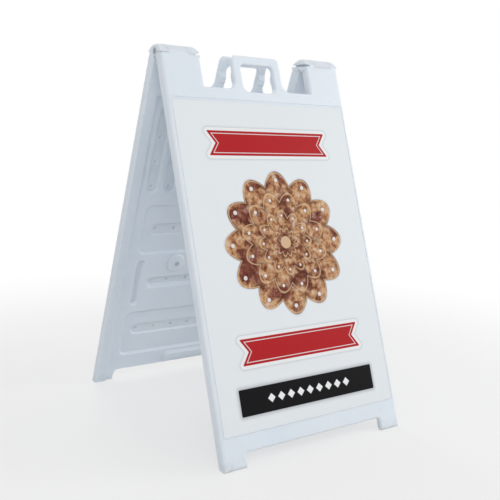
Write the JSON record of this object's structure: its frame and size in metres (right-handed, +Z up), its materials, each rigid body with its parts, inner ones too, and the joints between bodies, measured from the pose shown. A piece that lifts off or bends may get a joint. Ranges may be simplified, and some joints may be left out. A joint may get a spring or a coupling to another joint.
{
  "type": "a-frame sidewalk sign",
  "caption": "Folding A-frame sidewalk sign: hinged double-wall plastic panels with horns, carry handles, feet and recessed sign sheets.",
  "frame": {"origin": "on the pavement, under the hinge, midway between the four feet", "axes": "+X across the width along the hinge, the front panel faces -Y, +Z up; rest pose standing open against its stops"},
  "size_m": [0.635, 0.8334, 1.0934],
  "materials": {
    "panel_plastic": "satin blow-moulded polyethylene with a fine orange-peel grain",
    "front_sheet": "semi-gloss printed sheet",
    "rear_sheet": "semi-gloss printed sheet",
    "pin_plastic": "smooth moulded plastic",
    "plug_plastic": "smooth moulded plastic"
  },
  "bodies": {
    "front": {"front_panel": "panel_plastic", "front_face_sheet": "front_sheet", "front_ballast_plug": "plug_plastic", "right_hinge_pin": "pin_plastic"},
    "rear": {"rear_panel": "panel_plastic", "rear_face_sheet": "rear_sheet", "rear_ballast_plug": "plug_plastic", "left_hinge_pin": "pin_plastic"}
  },
  "joints": [
    {"name": "fold", "type": "hinge", "parent": "front", "child": "rear", "pos_m": [0, 0, 1.07294], "axis": [-1, 0, 0], "range_deg": [0, 39.5]}
  ]
}
